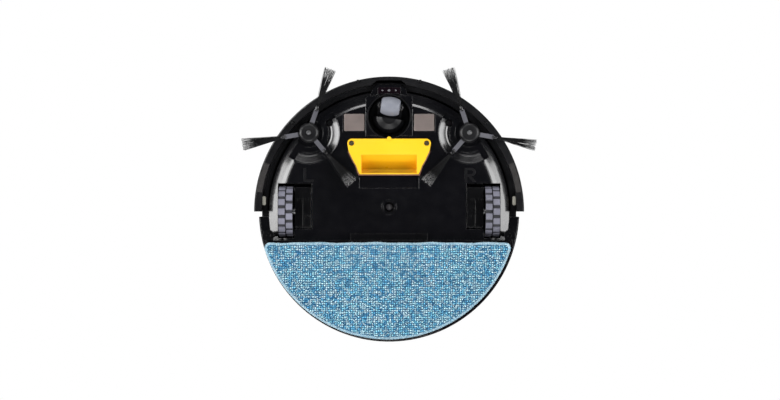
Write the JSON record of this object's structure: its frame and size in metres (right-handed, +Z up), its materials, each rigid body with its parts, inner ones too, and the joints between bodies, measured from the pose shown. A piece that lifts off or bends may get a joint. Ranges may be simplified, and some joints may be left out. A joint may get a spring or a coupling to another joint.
{
  "type": "robot vacuum",
  "caption": "Disc robot vacuum with suction inlet, side brushes, sprung drive wheels, caster, pull-out dustbin and a pull-off mop bracket with cloth.",
  "frame": {"origin": "on the floor, midway between the two drive wheels", "axes": "+Z up, the bumper (front) faces -Y, the dustbin slides out towards +Y, the side marked L is -X"},
  "size_m": [0.3257, 0.3041, 0.0824],
  "materials": {
    "black_plastic": "polished moulded",
    "soft_black": "fine moulded grain",
    "yellow_plastic": "satin moulded",
    "gasket": "foam rubber",
    "contact_metal": "fine brushed plating",
    "steel": "machined",
    "sensor_lens": "dark filter plastic",
    "tyre": "moulded rubber",
    "wheel_plastic": "moulded",
    "caster_rubber": "smooth moulded rubber",
    "bristle": "nylon filament",
    "brush_rubber": "soft moulded",
    "ivory_plastic": "low-friction moulded",
    "mop_cloth": "looped microfibre",
    "battery_wrap": "shrink wrap",
    "wire": "insulation",
    "circuit_board": "solder mask",
    "motor_case": "moulded",
    "impeller_plastic": "moulded",
    "top_gloss": "polished",
    "button_silver": "satin paint",
    "rocker_red": "moulded",
    "filter_paper": "pleated paper",
    "bin_smoke": "smoked"
  },
  "bodies": {
    "chassis": {"chassis_base": "black_plastic", "top_cover": "black_plastic", "top_panel": "top_gloss", "suction_inlet": "yellow_plastic", "inlet_gasket": "gasket", "inlet_screws": "steel", "suction_duct": "soft_black", "charge_contacts": "contact_metal", "cliff_sensor_lens": "sensor_lens", "chassis_screws": "steel", "caster_cup": "black_plastic", "battery_pack": "battery_wrap", "battery_lead": "wire", "main_board": "circuit_board", "fan_housing": "soft_black", "fan_motor": "steel", "brush_motor_l": "motor_case", "brush_motor_r": "motor_case", "pivot_pins": "steel", "suspension_springs": "steel", "bumper_switches": "motor_case", "bumper_springs": "steel", "charge_jack": "motor_case", "switch_housing": "motor_case"},
    "bumper": {"bumper_shell": "black_plastic", "bumper_window": "sensor_lens", "bumper_pads": "soft_black", "bumper_guides": "ivory_plastic", "bumper_screws": "steel"},
    "arm_l": {"wheel_arm_l": "black_plastic", "wheel_motor_l": "steel"},
    "wheel_l": {"wheel_axle_l": "steel", "wheel_hub_l": "wheel_plastic", "tyre_l": "tyre"},
    "arm_r": {"wheel_arm_r": "black_plastic", "wheel_motor_r": "steel"},
    "wheel_r": {"wheel_axle_r": "steel", "wheel_hub_r": "wheel_plastic", "tyre_r": "tyre"},
    "caster": {"caster_fork": "wheel_plastic", "caster_axle": "steel"},
    "caster_roller": {"caster_wheel": "caster_rubber"},
    "side_brush_l": {"brush_hub_l": "brush_rubber", "brush_bristles_l": "bristle", "brush_screw_l": "steel"},
    "side_brush_r": {"brush_hub_r": "brush_rubber", "brush_bristles_r": "bristle", "brush_screw_r": "steel"},
    "start_button": {"clean_button": "button_silver"},
    "rocker": {"power_switch": "rocker_red"},
    "bin": {"dustbin": "bin_smoke", "bin_lid": "bin_smoke", "bin_filter": "filter_paper"},
    "bin_latch": {"bin_button": "button_silver"},
    "fan_rotor": {"impeller": "impeller_plastic"},
    "mop": {"mop_plate": "soft_black", "mop_grips": "soft_black", "mop_cloth": "mop_cloth"}
  },
  "joints": [
    {"name": "bumper_press", "type": "slide", "parent": "chassis", "child": "bumper", "axis": [0, 1, 0], "range_m": [0, 0.004], "stiffness_N_per_m": 300, "springref_m": -0.006, "deforming": ["bumper_springs"]},
    {"name": "wheel_drop_l", "type": "hinge", "parent": "chassis", "child": "arm_l", "pos_m": [-0.096, -0.05, 0.03], "axis": [-1, 0, 0], "range_deg": [0, 12], "stiffness_Nm_per_rad": 0.3, "springref_deg": 28.65},
    {"name": "wheel_spin_l", "type": "hinge", "parent": "arm_l", "child": "wheel_l", "pos_m": [-0.1144, 0, 0.0285], "axis": [1, 0, 0], "continuous": true},
    {"name": "wheel_drop_r", "type": "hinge", "parent": "chassis", "child": "arm_r", "pos_m": [0.096, -0.05, 0.03], "axis": [-1, 0, 0], "range_deg": [0, 12], "stiffness_Nm_per_rad": 0.3, "springref_deg": 28.65},
    {"name": "wheel_spin_r", "type": "hinge", "parent": "arm_r", "child": "wheel_r", "pos_m": [0.1144, 0, 0.0285], "axis": [1, 0, 0], "continuous": true},
    {"name": "caster_swivel", "type": "hinge", "parent": "chassis", "child": "caster", "pos_m": [0, -0.1052, 0.04], "axis": [0, 0, 1], "continuous": true},
    {"name": "caster_roll", "type": "hinge", "parent": "caster", "child": "caster_roller", "pos_m": [0.00156, -0.11629, 0.0105], "axis": [0.9903, 0.1392, 0], "continuous": true},
    {"name": "side_brush_spin_l", "type": "hinge", "parent": "chassis", "child": "side_brush_l", "pos_m": [-0.089, -0.0873, 0.02], "axis": [0, 0, 1], "continuous": true, "deforming": ["brush_bristles_l"]},
    {"name": "side_brush_spin_r", "type": "hinge", "parent": "chassis", "child": "side_brush_r", "pos_m": [0.089, -0.0873, 0.02], "axis": [0, 0, 1], "continuous": true, "deforming": ["brush_bristles_r"]},
    {"name": "start_button_press", "type": "slide", "parent": "chassis", "child": "start_button", "axis": [0, 0, -1], "range_m": [0, 0.001], "stiffness_N_per_m": 1500, "springref_m": -0.0005},
    {"name": "power_rocker", "type": "hinge", "parent": "chassis", "child": "rocker", "pos_m": [-0.11004, 0.08911, 0.033], "axis": [0, 0, 1], "range_deg": [-14, 0]},
    {"name": "dustbin_slide", "type": "slide", "parent": "chassis", "child": "bin", "axis": [0, 1, 0], "range_m": [0, 0.1]},
    {"name": "bin_button_press", "type": "slide", "parent": "bin", "child": "bin_latch", "axis": [0, -1, 0], "range_m": [0, 0.0025], "stiffness_N_per_m": 600, "springref_m": -0.001},
    {"name": "impeller_spin", "type": "hinge", "parent": "chassis", "child": "fan_rotor", "pos_m": [0.06, 0.014, 0.03], "axis": [0, 0, 1], "continuous": true},
    {"name": "mop_pull_off", "type": "slide", "parent": "chassis", "child": "mop", "axis": [0, 0, -1], "range_m": [0, 0.02]}
  ]
}
